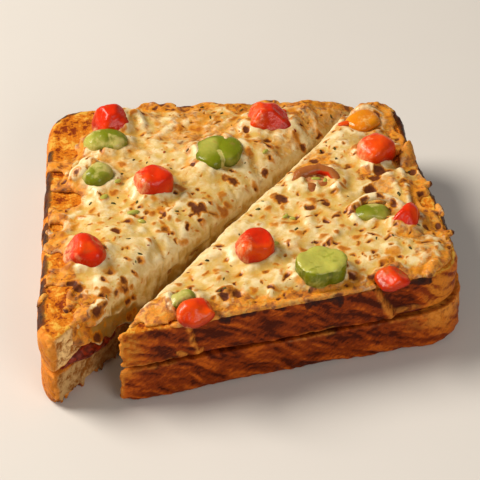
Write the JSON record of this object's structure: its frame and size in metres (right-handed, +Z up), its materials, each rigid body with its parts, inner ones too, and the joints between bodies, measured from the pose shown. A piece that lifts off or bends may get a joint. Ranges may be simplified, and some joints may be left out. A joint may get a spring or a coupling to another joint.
{
  "type": "chilli cheese toast",
  "caption": "Toasted sandwich of bread slices with chilli sauce between them and melted cheese, tomato and pepper pieces on top, cut corner to corner and laid slightly apart.",
  "frame": {"origin": "middle of the toast's bounding box, on the surface it lies on", "axes": "+Z up from the surface through the slices to the cheese, +X to the right along the long way across both halves, -Y towards the crust side that is seen from the front"},
  "size_m": [0.1318, 0.1128, 0.0372],
  "materials": {
    "bread": "toasted crust, golden to dark brown, rough",
    "sauce": "thick red chilli sauce, wet",
    "cheese": "melted and browned in spots, slightly oily",
    "tomato": "wet, glossy",
    "green_pepper": "cooked, glossy",
    "yellow_pepper": "cooked, glossy"
  },
  "bodies": {
    "root": {"left_lower_slice": "bread", "left_sauce": "sauce", "left_upper_slice": "bread", "left_cheese": "cheese", "right_lower_slice": "bread", "right_sauce": "sauce", "right_upper_slice": "bread", "right_cheese": "cheese", "tomato_back_left": "tomato", "tomato_centre_left": "tomato", "tomato_back_edge": "tomato", "tomato_left_edge": "tomato", "tomato_right_back": "tomato", "tomato_cut_edge": "tomato", "tomato_right_edge": "tomato", "tomato_centre_right": "tomato", "tomato_tip": "tomato", "tomato_front_corner": "tomato", "pepper_back_left": "green_pepper", "pepper_left": "green_pepper", "pepper_hollow": "green_pepper", "pepper_cut_edge": "green_pepper", "pepper_yellow": "yellow_pepper", "pepper_ring": "green_pepper", "pepper_slice": "green_pepper"}
  },
  "joints": []
}
